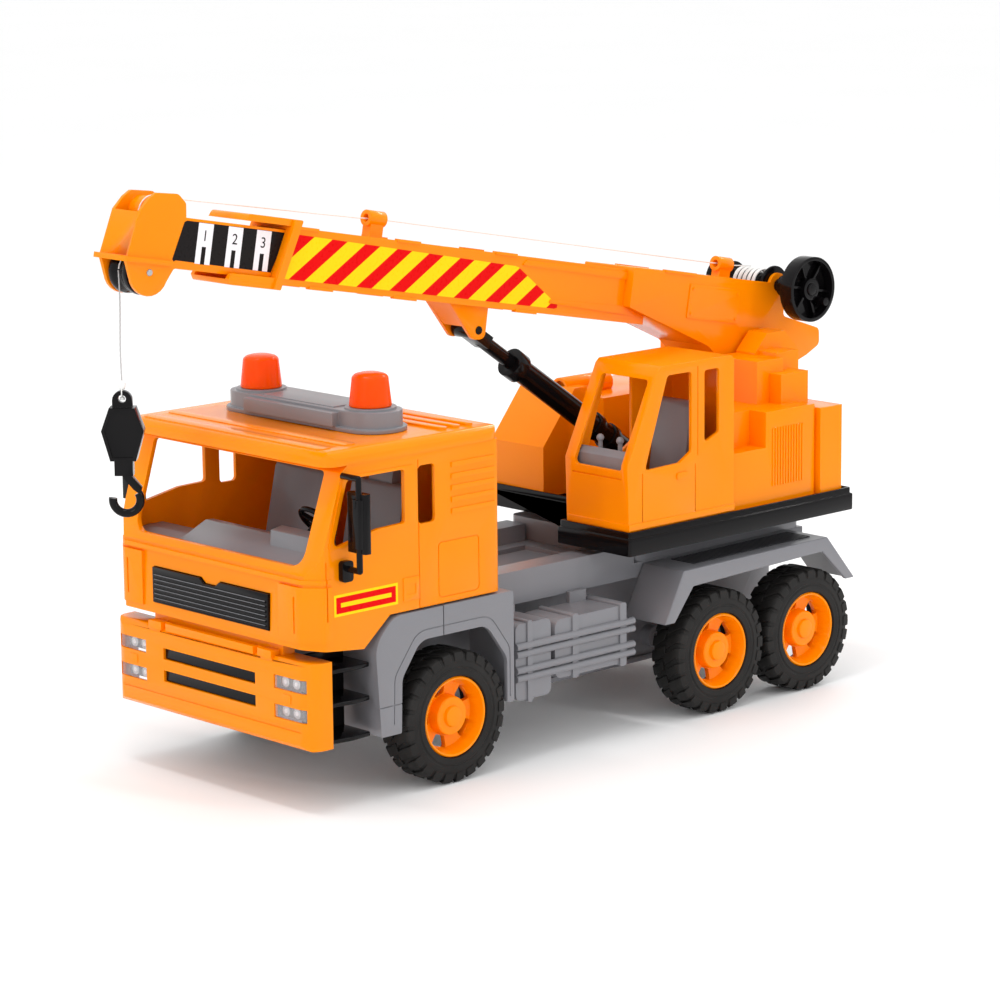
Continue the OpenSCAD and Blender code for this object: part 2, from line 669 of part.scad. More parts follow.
module operator_cab() color(orange) {
    difference() {
        side(36, 89.4, operator_side);
        side(36 + wall, 89.4 - wall, operator_hollow);
        front(30, 64, round_poly([[44, 163.5], [84, 163.5], [84, 216.5], [44, 216.5]], 2.5));
        side(30, 95, round_poly([[48.6, 162.5], [68.5, 218.5], [89.5, 218.5], [89.5, 169],
            [79, 163.2]], [2, 3, 2, 2, 3]));
        side(80, 95, round_poly([[101, 173], [101, 218], [114, 218], [114, 178]], 2));
        // door seams
        for (y = [46, 92.4]) block(88.8, 95, y, y + 0.8, shell_z + 4, 161);
        block(88.8, 95, 94.6, 95.4, 166, 221);
        block(42, 84, 30, 34.6, 158, 158.8);
    }
    // door handle and trim along the foot
    side(89.2, 90.6, round_poly(box_pts(76, 86, 153, 157.4), 1.4));
    block(89, 90.2, 34.2, 127.5, deck_rim + 0.4, deck_rim + 4.4);
    block(36.5, 90.2, 34.2, 35.2, deck_rim + 0.4, deck_rim + 4.4);
}

module operator_seat() color(grey) {
    side(50, 80, round_poly([[76, shell_z], [70, 148], [92, 150], [98, 197], [109, 197], [110, 150],
        [108, shell_z]],
        [1, 4, 4, 4.5, 4.5, 2, 1]));
}

module control_console() color(grey) {
    difference() {
        side(41, 84, round_poly([[38.6, shell_z], [38.6, 170], [42, 174], [52, 170], [54, shell_z]],
            [0, 1, 2, 2, 0]));
        side(43, 82, [[40.6, 110], [40.6, 168], [49, 167], [51, 110]]);
    }
    for (x = [54, 71]) translate([x, 46, 170]) {
        cylinder(h = 9, r = 1.4);
        translate([0, 0, 9]) sphere(r = 2.4, $fn = 24);
    }
}

module boom_pivot_pin() color(steel)
    rod_x(-tower_out - 1, tower_out + 1, pivot_y, pivot_z, pivot_r);

// ---- boom ----------------------------------------------------------------

tube_half = 15.7;
tube_low = 14.1;
tube_high = 47.5;
bore_half = inner_half_w + gap;
bore_low = 16.1;
bore_high = 45.8;
box_half = 22;
collar_half = 19.2;

// Rear box with its lobe around the pivot and its tail
box_side = [[120, 24.1], [44, 5.4], [20, -9], [12, -15], [-10, -16], [-22, -9], [-51.4, 6.3],
    [-62.9, 14.4],
    [-60.8, 24.8], [-45, 27], [-24, 30], [-22, 50.2], [-9, 50.5], [120, 49.3]];

module tab(u0, u1, w, half)
    both_sides() boom_block(half - 2.6, half + 1, u0, u1, w - 0.9, w + 0.9);

module rope_guide(u, w_base) {
    difference() {
        union() {
            translate([0, -u, guide_w]) rotate([90, 0, 0]) cylinder(h = 13, r = 4.8, center = true);
            boom_block(-3.5, 3.5, u - 5, u + 5, w_base, guide_w);
        }
        translate([0, -u, guide_w]) rotate([90, 0, 0]) cylinder(h = 40, r = 2.4, center = true);
    }
}

module boom_outer() color(orange) in_boom() {
    difference() {
        union() {
            boom_side(-tube_half, tube_half,
                [[100, tube_low], [405, tube_low], [396, tube_high], [100, tube_high]]);
            boom_side(-box_half, box_half, round_poly(box_side, [1, 3, 4, 4, 6, 6, 3, 4, 4, 3, 3, 3, 3,
                1]));
            // collar
            boom_side(-collar_half, collar_half,
                round_poly([[402.5, 11], [407.5, 11], [397.5, 52], [391.5, 52]], 1));
            boom_side(-17, 17, round_poly([[394, 48], [394, 52], [430, 52], [432, 48]], [0, 0, 3, 0]));
            boom_side(-17, 17, round_poly([[404, 11], [438, 11], [440, 14.2], [438, 17.6], [404, 17.6]],
                [0, 2, 1, 2, 0]));
            // ears that carry the winch drum
            both_sides() rod_x(box_half - wall, box_half, -drum_u, drum_w, 8);
            // lug for the lifting cylinder
            both_sides() boom_side(8.6, 11.1,
                round_poly([[231, 16], [265, 16], [lug_u + 4, lug_w - 6], [lug_u - 6, lug_w - 5]],
                    [0, 0, 4.6, 4.6]));
            boom_side(-11.1, 11.1, [[258, 16], [265, 16], [248, 1], [244.5, 1]]);
        }
        // telescope bore, open at the front
        boom_block(-bore_half, bore_half, 100, 420, bore_low, bore_high);
        boom_block(-14, 14, 408, 445, 14, 48);
        boom_block(-13.5, 13.5, 404, 428, 40, 50.2);
        // hollow of the rear box, open above the drum and at the tail
        boom_side(-box_half + wall, box_half - wall, [[117, 27], [44, 9], [22, -5], [-10, -12],
            [-22, -5],
            [-50, 10], [-70, 20], [-70, 70], [4, 70], [4, 47.4], [117, 46.6]]);
        rod_x(-30, 30, 0, 0, pivot_r + fit);
        rod_x(-30, 30, -drum_u, drum_w, drum_axle_r + fit);
        rod_x(-30, 30, -lug_u, lug_w, lug_pin_r + fit);
        // keep the rope's way clear behind the rear guide
        boom_block(-19, 19, -30, 4, 46, 60);
    }
    // bosses around the pivot inside the box
    both_sides() difference() {
        rod_x(box_half - wall - 2, tower_in - 0.35, 0, 0, 10);
        rod_x(10, 30, 0, 0, pivot_r + fit);
    }
    // raised cover panels
    both_sides() {
        boom_side(box_half - 0.2, box_half + 0.9, round_poly(box_pts(20, 68, 21.5, 43.5), 1));
        for (u = [23, 65], w = [24.5, 40.5]) rod_x(box_half + 0.8, box_half + 1.5, -u, w, 1.1);
        // strengthening strips between the rear box and the sticker
        boom_side(tube_half - 0.2, tube_half + 1, round_poly([[110, 41], [212, 42], [208, 45.6],
            [110, 45.6]], 0.8));
        boom_side(tube_half - 0.2, tube_half + 1, round_poly([[110, 19], [186, 21], [184, 23.4],
            [110, 24.4]], 0.8));
    }
    rope_guide(guide_rear_u, 48);
    rope_guide(guide_front_u, 46.8);
    for (u = [386, 306, 226]) tab(u - 9, u + 9, tube_high, tube_half);
    for (u = [370, 304, 204]) tab(u - 9, u + 9, tube_low, tube_half);
    tab(64, 92, 49.4, box_half);
}

head_side = [[460, 16.5], [476, 16.5], [480.4, 8.5], [sheave_u, -0.3], [505, 8], [509.9, 18.4],
    [504.4, 45.5], [499, 53], [494.4, 57], [479, 57.9], [472.8, 53.4], [471.4, 45.4], [460, 45.4]];

module boom_inner() color(orange) in_boom() {
    difference() {
        union() {
            boom_block(-inner_half_w, inner_half_w, 235, 476, bore_low + gap, bore_high - gap);
            both_sides() boom_side(inner_half_w - 2.4, inner_half_w,
                round_poly(head_side, [0, 2, 3, 11, 3, 1, 1, 3, 3, 4, 3, 0, 0]));
            both_sides() boom_side(inner_half_w - 2.4, inner_half_w, concat([for (a = [180 : 15 : 360])
                [sheave_u - 13.2 * cos(a), sheave_w + 13.2 * sin(a)]], [[478, 20], [506, 20]]));
            // front plate and flange
            boom_side(-inner_half_w, inner_half_w,
                [[504.4, 45.5], [509.9, 18.4], [507.6, 18], [502.2, 45.2]]);
            both_sides() boom_side(8.2, 14.4, round_poly(box_pts(478, 512, 17.6, 20.6), 1));
            boom_block(-14.4, 14.4, 508, 512, 17.6, 20.6);
            // saddle that turns the rope down to the pulley
            rod_x(-inner_half_w + 1, inner_half_w - 1, -saddle_u, saddle_w, saddle_r);
        }
        boom_block(-inner_half_w + 2, inner_half_w - 2, 230, 470, bore_low + gap + 2,
            bore_high - gap - 2);
        boom_block(-inner_half_w + 2.4, inner_half_w - 2.4, 474, 502, -8, 34);
        rod_x(-20, 20, -sheave_u, sheave_w, 2 + fit);
        translate([0, -saddle_u, saddle_w]) rotate([0, 90, 0])
            rotate_extrude() translate([saddle_r + 0.6, 0]) circle(r = 1.2, $fn = 24);
    }
}

module head_pin() color(steel) in_boom() {
    rod_x(-inner_half_w - 0.6, inner_half_w + 0.6, -sheave_u, sheave_w, 2);
}

module head_pulley() color(black) translate([0, sheave_y, sheave_z]) rotate([0, 90, 0])
    rotate_extrude($fn = 72) polygon([[2.05, -8], [sheave_r, -8], [sheave_r, -5], [sheave_r - 1.7, -1],
        [sheave_r - 1.7, 1], [sheave_r, 5], [sheave_r, 8], [2.05, 8]]);

// ---- winch ---------------------------------------------------------------

// X of the hand wheel's back face
wheel_x = 42.4;

module winch_drum() color(black) in_boom() translate([0, -drum_u, drum_w]) rotate([0, 90, 0]) {
    translate([0, 0, -36]) cylinder(h = 88, r = drum_axle_r);
    translate([0, 0, -19]) cylinder(h = 38, r = 7);
    for (x = [-19, 17]) translate([0, 0, x]) cylinder(h = 2, r = 12.4);
    translate([0, 0, -30]) cylinder(h = 4, r = 14);
    translate([0, 0, 26]) cylinder(h = wheel_x - 26.2, r = 7);
}

module rope_coil() color("white") in_boom() translate([0, -drum_u, drum_w]) rotate([0, 90, 0])
    rotate_extrude() polygon([[7.05, -11], [coil_r, -10], [coil_r, 10], [7.05, 11]]);

module winch_handwheel() color(black) in_boom() translate([0, -drum_u, drum_w]) rotate([0, 90, 0])
    difference() {
        union() {
            difference() {
                translate([0, 0, wheel_x]) cylinder(h = 9.8, r = 21);
                translate([0, 0, wheel_x + 2.4]) cylinder(h = 10, r = 18.6);
            }
            translate([0, 0, wheel_x]) cylinder(h = 8.6, r = 7);
            for (a = [30 : 60 : 330]) rotate([0, 0, a]) block(6, 19, -0.8, 0.8, wheel_x, wheel_x + 5.8);
            rotate([0, 0, 60]) translate([13.5, 0, wheel_x]) cylinder(h = 12, r = 2.6);
        }
        translate([0, 0, 30]) cylinder(h = 30, r = drum_axle_r + fit);
    }

// ---- lifting cylinder ----------------------------------------------------

// The cylinder's frame: +Y runs down along it from the boom's lug
module in_cylinder()
    translate([0, lug_y, lug_z]) rotate([cyl_angle, 0, 0]) children();

barrel_start = 44;
barrel_r = 7.4;
rod_r = 4.4;

module cylinder_rod() color(black) in_cylinder() {
    rod_x(-11.6, 11.6, 0, 0, lug_pin_r);
    rod_x(-7.6, 7.6, 0, 0, 5.6);
    block(-6, 6, 0, 18, -4, 4);
    rod_y(14, 150, 0, 0, rod_r);
}

module cylinder_barrel() color(black) in_cylinder() difference() {
    union() {
        rod_y(barrel_start, cyl_len - 2, 0, 0, barrel_r);
        rod_y(barrel_start, barrel_start + 9, 0, 0, 9.4);
        for (y = [barrel_start + 84, barrel_start + 100]) rod_y(y, y + 6, 0, 0, 8.6);
        rod_x(-7, 7, cyl_len, 0, 8);
    }
    rod_y(barrel_start - 1, 158, 0, 0, rod_r + 0.06);
    rod_x(-20, 20, cyl_len, 0, 4);
}

// ---- rope and hook -------------------------------------------------------

// Rope from the drum through both guides and over the head to the pulley's front, as (u, w) points
rope_uw = [
    [drum_u + 4, drum_w + coil_r + 0.4],
    [guide_rear_u - 10, guide_w],
    [guide_rear_u + 10, guide_w],
    [guide_front_u - 10, guide_w],
    [guide_front_u + 10, guide_w - 0.6],
    for (a = [110 : -15 : 5]) [saddle_u + (saddle_r + 0.5) * cos(a),
        saddle_w + (saddle_r + 0.5) * sin(a)],
    for (a = [12 : -12 : -10]) [sheave_u + (sheave_r - 1) * cos(a), sheave_w + (sheave_r - 1) * sin(a)]
];
rope_sides = 8;

// A tube swept along (y, z) points that all lie in the plane x = 0
module rope_sweep(path, r) {
    n = len(path);
    function along(i) =
        let (a = path[max(i - 1, 0)], b = path[min(i + 1, n - 1)]) (b - a) / norm(b - a);
    points = [for (i = [0 : n - 1], k = [0 : rope_sides - 1])
        let (t = along(i), c = cos(360 * k / rope_sides), s = sin(360 * k / rope_sides))
        [r * c, path[i][0] - r * s * t[1], path[i][1] + r * s * t[0]]];
    walls = [for (i = [0 : n - 2], k = [0 : rope_sides - 1])
        let (a = i * rope_sides + k, b = i * rope_sides + (k + 1) % rope_sides)
        [a, a + rope_sides, b + rope_sides, b]];
    ends = [[for (k = [0 : rope_sides - 1]) k],
        [for (k = [rope_sides - 1 : -1 : 0]) (n - 1) * rope_sides + k]];
    polyhedron(points, concat(walls, ends));
}

module boom_rope() color("white")
    rope_sweep([for (p = rope_uw) [boom_y(p[0], p[1]), boom_z(p[0], p[1])]], rope_r);

module hanging_rope() color("white")
    translate([0, rope_y, knot_top]) cylinder(h = sheave_z + 1.5 - knot_top, r = rope_r, $fn = 16);

eye_z = 236.8;
eye_r = 2.2;
stem_r = 0.7;
hook_turn = 45;
hook_z = 179.3;
hook_ring_r = 7.7;
hook_wire_r = 2.4;

// Knot above the eye, with its stem through the eye's bar and a small knot inside the eye
module hook_swivel() color("white") translate([0, rope_y, 0]) {
    translate([0, 0, knot_bottom]) cylinder(h = 1.4, r1 = 1.4, r2 = 2.1, $fn = 24);
    translate([0, 0, knot_bottom + 1.4]) cylinder(h = 2.2, r = 2.1, $fn = 24);
    translate([0, 0, knot_bottom + 3.6]) cylinder(h = knot_top - knot_bottom - 3.6, r1 = 2.1, r2 = 0.9,
        $fn = 24);
    translate([0, 0, eye_z - 0.6]) cylinder(h = knot_bottom - eye_z + 1, r = stem_r, $fn = 24);
    translate([0, 0, eye_z - 0.8]) cylinder(h = 1.4, r = 1.3, $fn = 24);
}

block_pts = [[-7.2, 232], [7.2, 232], [11.9, 219], [7.2, 202], [-7.2, 202], [-11.9, 219]];
panel_pts = [[-5.8, 230], [5.8, 230], [9.9, 219.1], [5.8, 204], [-5.8, 204], [-9.9, 219.1]];

// Weighted block with its hook, turned to face the front left corner
module hook_block() color(black) translate([0, rope_y, 0]) rotate([0, 0, hook_turn]) {
    difference() {
        front(-5, 5, block_pts);
        front(-6, -4, panel_pts);
        front(4, 6, panel_pts);
    }
    // eye
    difference() {
        front(-2.2, 2.2, round_poly([[-5.6, 231], [-5.6, 241.4], [5.6, 241.4], [5.6, 231]],
            [0, 5.5, 5.5, 0]));
        translate([0, 10, eye_z]) rotate([90, 0, 0]) cylinder(h = 20, r = eye_r);
        translate([0, 0, eye_z]) cylinder(h = 10, r = stem_r + gap, $fn = 24);
    }
    block(-5.2, 5.2, -3.6, 3.6, 193.4, 203);
    // J-shaped hook
    translate([0.7, 0, hook_z]) rotate([90, 0, 0]) rotate([0, 0, 172]) rotate_extrude(angle = 218,
        $fn = 48)
        translate([hook_ring_r, 0]) circle(r = hook_wire_r, $fn = 24);
    front(-hook_wire_r, hook_wire_r, [[-1, 196], [3.6, 194], [9.6, 186.4], [8.6, 182.6], [5, 185.4],
        [-1, 192.6]]);
}

// ---- drawing -------------------------------------------------------------

chassis_frame();
belly_cover();
chassis_screws();
swing_pedestal();
cab_fender_left();
cab_fender_right();
rear_fender_left();
rear_fender_right();
tool_box_left();
tool_box_right();
cab_step_left();
cab_step_right();
bumper();
bumper_insert();
headlights();
cab_shell();
radiator_grille();
cab_interior();
steering_wheel();
light_bar();
beacon_left();
beacon_right();
mirror_left();
mirror_right();
front_axle();
front_tyre_left();
front_tyre_right();
front_rim_left();
front_rim_right();
mid_axle();
mid_tyre_left();
mid_tyre_right();
mid_rim_left();
mid_rim_right();
rear_axle();
rear_tyre_left();
rear_tyre_right();
rear_rim_left();
rear_rim_right();
turret_deck();
turret_king_pin();
turret_housing();
operator_cab();
operator_seat();
control_console();
cylinder_cheeks();
boom_pivot_pin();
boom_outer();
boom_inner();
head_pin();
head_pulley();
cylinder_rod();
cylinder_barrel();
winch_drum();
rope_coil();
winch_handwheel();
boom_rope();
hanging_rope();
hook_swivel();
hook_block();
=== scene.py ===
"""Looks of the toy crane truck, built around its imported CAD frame. Lengths are in metres, row frame."""
import json
import math

import bmesh
import bpy
from mathutils import Matrix, Vector


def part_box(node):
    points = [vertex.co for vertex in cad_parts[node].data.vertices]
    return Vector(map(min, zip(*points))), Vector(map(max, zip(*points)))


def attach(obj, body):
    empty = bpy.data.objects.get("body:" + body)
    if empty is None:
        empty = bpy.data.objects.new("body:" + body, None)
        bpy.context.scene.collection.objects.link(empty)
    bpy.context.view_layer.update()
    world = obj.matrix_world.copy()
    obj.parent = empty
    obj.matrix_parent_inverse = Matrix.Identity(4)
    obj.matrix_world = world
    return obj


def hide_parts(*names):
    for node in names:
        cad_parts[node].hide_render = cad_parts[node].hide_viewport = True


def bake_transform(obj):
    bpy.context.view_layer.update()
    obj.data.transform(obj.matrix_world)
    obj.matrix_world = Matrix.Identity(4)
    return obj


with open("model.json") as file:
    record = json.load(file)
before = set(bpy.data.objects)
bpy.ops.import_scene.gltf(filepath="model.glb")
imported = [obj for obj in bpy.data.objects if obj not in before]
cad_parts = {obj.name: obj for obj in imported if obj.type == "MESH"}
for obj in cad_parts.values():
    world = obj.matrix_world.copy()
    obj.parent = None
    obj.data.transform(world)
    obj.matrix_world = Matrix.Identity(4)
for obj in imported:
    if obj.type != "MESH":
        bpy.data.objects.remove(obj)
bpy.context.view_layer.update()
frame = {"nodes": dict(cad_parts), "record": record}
nodes = frame["nodes"]
MM = 0.001

# ---- driving dimensions, as in the CAD -------------------------------------

PIVOT_Y, PIVOT_Z = 218 * MM, 204 * MM
BOOM_ANGLE = math.radians(10.6)
TUBE_HALF = 15.7 * MM
INNER_HALF = 12.5 * MM
WHEEL_R = 39.5 * MM
TYRE_W = 24 * MM
CAB_SIDE = 90.9 * MM
SHEAVE = (492.7 * MM, 12.8 * MM)
SADDLE = (486 * MM, 46 * MM)
DRUM = (-15.2 * MM, 49.4 * MM)
ROPE_R = 0.45 * MM
PROUD = 0.12 * MM  # a sticker's thickness


def boom_point(x, u, w):
    """A point of the boom's own frame: u forward from the pivot, w up from it."""
    c, s = math.cos(BOOM_ANGLE), math.sin(BOOM_ANGLE)
    return Vector((x, PIVOT_Y - u * c + w * s, PIVOT_Z + u * s + w * c))


# ---- materials ---------------------------------------------------------------

def material(name, **sockets):
    mat = bpy.data.materials.new(name)
    mat.use_nodes = True
    bsdf = mat.node_tree.nodes["Principled BSDF"]
    for key, value in sockets.items():
        bsdf.inputs[key.replace("_", " ")].default_value = value
    return mat, mat.node_tree, bsdf


def add_noise(tree, scale, detail=3.0, coords="Object"):
    where = tree.nodes.new("ShaderNodeTexCoord")
    noise = tree.nodes.new("ShaderNodeTexNoise")
    noise.inputs["Scale"].default_value = scale
    noise.inputs["Detail"].default_value = detail
    tree.links.new(where.outputs[coords], noise.inputs["Vector"])
    return noise


def add_ramp(tree, source, stops):
    ramp = tree.nodes.new("ShaderNodeValToRGB")
    ramp.color_ramp.elements[0].position, ramp.color_ramp.elements[1].position = stops[0][0], stops[-1][0]
    ramp.color_ramp.elements[0].color, ramp.color_ramp.elements[1].color = stops[0][1], stops[-1][1]
    for place, colour in stops[1:-1]:
        ramp.color_ramp.elements.new(place).color = colour
    tree.links.new(source, ramp.inputs["Fac"])
    return ramp


def add_bump(tree, bsdf, source, strength, distance):
    bump = tree.nodes.new("ShaderNodeBump")
    bump.inputs["Strength"].default_value = strength
    bump.inputs["Distance"].default_value = distance
    tree.links.new(source, bump.inputs["Height"])
    tree.links.new(bump.outputs["Normal"], bsdf.inputs["Normal"])


def add_map(tree, source, low, high, socket):
    span = tree.nodes.new("ShaderNodeMapRange")
    span.inputs["To Min"].default_value = low
    span.inputs["To Max"].default_value = high
    tree.links.new(source, span.inputs["Value"])
    tree.links.new(span.outputs["Result"], socket)


def shade(colour, k):
    return (min(colour[0] * k, 1), min(colour[1] * k, 1), min(colour[2] * k, 1), 1)


def moulded_plastic(name, colour, rough, ripple=0.06, vary=0.05, **sockets):
    """Injection-moulded plastic: faint flow marks in the colour, a satin ripple and fine surface grain."""
    mat, tree, bsdf = material(name, **sockets)
    flow = add_noise(tree, 14, 2)
    grain = add_noise(tree, 900, 2)
    stops = [(0.3, shade(colour, 1 - vary)), (0.7, shade(colour, 1 + vary))]
    ramp = add_ramp(tree, flow.outputs["Fac"], stops)
    tree.links.new(ramp.outputs["Color"], bsdf.inputs["Base Color"])
    add_map(tree, flow.outputs["Fac"], rough * 0.8, rough * 1.25, bsdf.inputs["Roughness"])
    add_bump(tree, bsdf, grain.outputs["Fac"], ripple, 0.0002)
    return mat


ORANGE = (1.0, 0.262, 0.0)
GREY = (0.205, 0.205, 0.222)
BLACK = (0.004, 0.0035, 0.004)

orange = moulded_plastic("orange_plastic", ORANGE, 0.17, 0.015, 0.02, Specular_IOR_Level=0.17,
                         Subsurface_Weight=0.12, Subsurface_Radius=(0.006, 0.002, 0.0008),
                         Subsurface_Scale=1.0)
grey = moulded_plastic("grey_plastic", GREY, 0.3, 0.03, 0.04, Specular_IOR_Level=0.4)
grey_dark = moulded_plastic("dark_grey_plastic", (0.05, 0.05, 0.055), 0.4, 0.2, 0.08)
black = moulded_plastic("black_plastic", BLACK, 0.13, 0.015, 0.1, Specular_IOR_Level=0.15)
beacon_mat = moulded_plastic("beacon_plastic", (1.0, 0.078, 0.0), 0.2, 0.02, 0.04, Specular_IOR_Level=0.12,
                             Subsurface_Weight=0.3, Subsurface_Radius=(0.01, 0.003, 0.001),
                             Subsurface_Scale=1.0)
white_rope = moulded_plastic("white_nylon", (0.82, 0.82, 0.8), 0.5, 0.2, 0.06, Sheen_Weight=0.2)
# Darker grey for the hanging line is painted shade: the rope is the same white nylon as on the drum
rope_painted_shade = moulded_plastic("nylon_painted_shade", (0.46, 0.45, 0.45), 0.5, 0.2, 0.06)


def tyre_material():
    mat, tree, bsdf = material("tyre_rubber", Specular_IOR_Level=0.2)
    cloud = add_noise(tree, 60, 4)
    grain = add_noise(tree, 1500, 3)
    stops = [(0.3, (0.008, 0.0075, 0.007, 1)), (0.75, (0.018, 0.0165, 0.0155, 1))]
    ramp = add_ramp(tree, cloud.outputs["Fac"], stops)
    tree.links.new(ramp.outputs["Color"], bsdf.inputs["Base Color"])
    add_map(tree, cloud.outputs["Fac"], 0.42, 0.6, bsdf.inputs["Roughness"])
    add_bump(tree, bsdf, grain.outputs["Fac"], 0.25, 0.0002)
    return mat


def steel_material():
    mat, tree, bsdf = material("plated_steel", Metallic=1.0)
    brush = add_noise(tree, 300, 4)
    ramp = add_ramp(tree, brush.outputs["Fac"], [(0.3, (0.4, 0.4, 0.42, 1)), (0.7, (0.6, 0.6, 0.62, 1))])
    tree.links.new(ramp.outputs["Color"], bsdf.inputs["Base Color"])
    add_map(tree, brush.outputs["Fac"], 0.2, 0.4, bsdf.inputs["Roughness"])
    add_bump(tree, bsdf, brush.outputs["Fac"], 0.1, 0.0001)
    return mat


def clear_material(name, tint, alpha, rough=0.04):
    """Thin clear moulding: mostly see-through, with a tint and faint haze."""
    mat, tree, bsdf = material(name, Alpha=alpha, Specular_IOR_Level=0.6)
    haze = add_noise(tree, 25, 3)
    ramp = add_ramp(tree, haze.outputs["Fac"], [(0.3, shade(tint, 0.95)), (0.7, shade(tint, 1.05))])
    tree.links.new(ramp.outputs["Color"], bsdf.inputs["Base Color"])
    add_map(tree, haze.outputs["Fac"], rough, rough * 2, bsdf.inputs["Roughness"])
    return mat


def print_material(name, colour, rough=0.28):
    """Printed sticker film with a faint print mottle."""
    mat, tree, bsdf = material(name, Specular_IOR_Level=0.08)
    mottle = add_noise(tree, 500, 2)
    ramp = add_ramp(tree, mottle.outputs["Fac"], [(0.3, shade(colour, 0.97)), (0.7, shade(colour, 1.02))])
    tree.links.new(ramp.outputs["Color"], bsdf.inputs["Base Color"])
    add_map(tree, mottle.outputs["Fac"], rough * 0.9, rough * 1.1, bsdf.inputs["Roughness"])
    return mat


tyre_mat = tyre_material()
steel = steel_material()
lens = clear_material("lamp_lens", (0.9, 0.92, 0.95), 0.16)
red_print = print_material("red_print", (0.76, 0.0, 0.001))
yellow_print = print_material("yellow_print", (1.0, 0.66, 0.005))
black_print = print_material("black_print", (0.012, 0.01, 0.01))
white_print = print_material("white_print", (0.86, 0.85, 0.88))

# ---- CAD nodes keep their shape and get materials and softened edges -----------

FINISH = {
    "grey_body": grey, "orange_body": orange, "black_body": black, "tyre_rubber": tyre_mat,
    "steel": steel, "beacon_lens": beacon_mat, "rope_fibre": white_rope, "clear_lens": lens,
}
EDGE = {  # bevel width in millimetres where it isn't the usual one
    "cab_shell": 1.1, "bumper": 1.0, "operator_cab": 0.9, "turret_housing": 1.0, "boom_outer": 0.7,
    "cab_fender_left": 1.0, "cab_fender_right": 1.0, "rear_fender_left": 1.0, "rear_fender_right": 1.0,
    "cab_interior": 1.2, "operator_seat": 2.0, "light_bar": 0.9, "hook_block": 0.8, "turret_deck": 0.7,
    "beacon_left": 1.0, "beacon_right": 1.0, "head_pulley": 0.4, "chassis_screws": 0.1, "hook_swivel": 0.1,
    "radiator_grille": 0.25, "headlights": 0.5, "mirror_left": 0.6, "mirror_right": 0.6,
}
USUAL_EDGE = 0.6


def soften(obj, width, segments=3):
    weld = obj.modifiers.new("weld", "WELD")
    weld.merge_threshold = 1e-6
    flat = obj.modifiers.new("flat", "DECIMATE")
    flat.decimate_type = "DISSOLVE"
    flat.angle_limit = math.radians(0.6)
    bevel = obj.modifiers.new("edge", "BEVEL")
    bevel.width = width
    bevel.segments = segments
    bevel.limit_method = "ANGLE"
    bevel.angle_limit = math.radians(28)
    bevel.harden_normals = True
    bevel.use_clamp_overlap = True
    for face in obj.data.polygons:
        face.use_smooth = True


for part in frame["record"]["subparts"]:
    obj = nodes[part["node"]]
    obj.data.materials.clear()
    obj.data.materials.append(FINISH[part["material_slot"]])
    if part["node"] not in ("hanging_rope", "boom_rope", "rope_coil"):
        soften(obj, EDGE.get(part["node"], USUAL_EDGE) * MM)

# ---- making pieces -------------------------------------------------------------


def piece(name, verts, faces, materials, body, smooth=False, face_material=None):
    mesh = bpy.data.meshes.new(name)
    mesh.from_pydata([tuple(v) for v in verts], [], faces)
    for mat in materials:
        mesh.materials.append(mat)
    for i, face in enumerate(mesh.polygons):
        face.use_smooth = smooth
        if face_material:
            face.material_index = face_material[i]
    mesh.validate()
    obj = bpy.data.objects.new(name, mesh)
    bpy.context.scene.collection.objects.link(obj)
    if body:
        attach(obj, body)
    return obj


def prism(outline, place, depth):
    """Vertices and faces of a 2D outline between place(a, b, 0) and place(a, b, depth)."""
    n = len(outline)
    verts = [place(a, b, 0) for a, b in outline] + [place(a, b, depth) for a, b in outline]
    faces = [list(range(n))[::-1], list(range(n, 2 * n))]
    faces += [[i, (i + 1) % n, (i + 1) % n + n, i + n] for i in range(n)]
    return verts, faces


def recalc(obj):
    bm = bmesh.new()
    bm.from_mesh(obj.data)
    bmesh.ops.recalc_face_normals(bm, faces=bm.faces)
    bm.to_mesh(obj.data)
    bm.free()
    return obj


def slab(name, outline, place, depth, mat, body):
    verts, faces = prism(outline, place, depth)
    return recalc(piece(name, verts, faces, [mat], body))


# ---- tyres -----------------------------------------------------------------------

LUGS = 25
STEPS_PER_LUG = 6


def tyre_mesh():
    """Carcass turned about X at the origin, with staggered lugs on both shoulders. +X is the outer side."""
    half = TYRE_W / 2
    bm = bmesh.new()
    side = [(24, 10), (24.6, 11.6), (28.2, 11.95), (28.6, 11.5), (29.6, 11.5), (30, 11.9), (33.6, 11.7),
            (37, 10.8), (38.1, 8.8)]
    profile = [(r * MM, x * MM) for r, x in side] + [(r * MM, -x * MM) for r, x in reversed(side)]
    steps = LUGS * STEPS_PER_LUG
    rings = []
    for i in range(steps):
        a = 2 * math.pi * i / steps
        rings.append([bm.verts.new((x, r * math.cos(a), r * math.sin(a))) for r, x in profile])
    count = len(profile)
    for i in range(steps):
        for j in range(count):
            near, far = rings[i], rings[(i + 1) % steps]
            bm.faces.new((near[j], near[(j + 1) % count], far[(j + 1) % count], far[j]))
    for sign in (1, -1):
        for k in range(LUGS):
            add_lug(bm, sign, 2 * math.pi * (k + (0.5 if sign < 0 else 0)) / LUGS, long=k % 2 == 0)
    bmesh.ops.recalc_face_normals(bm, faces=bm.faces)
    mesh = bpy.data.meshes.new("tyre")
    bm.to_mesh(mesh)
    bm.free()
    mesh.materials.append(tyre_mat)
    for face in mesh.polygons:
        face.use_smooth = True
    return mesh


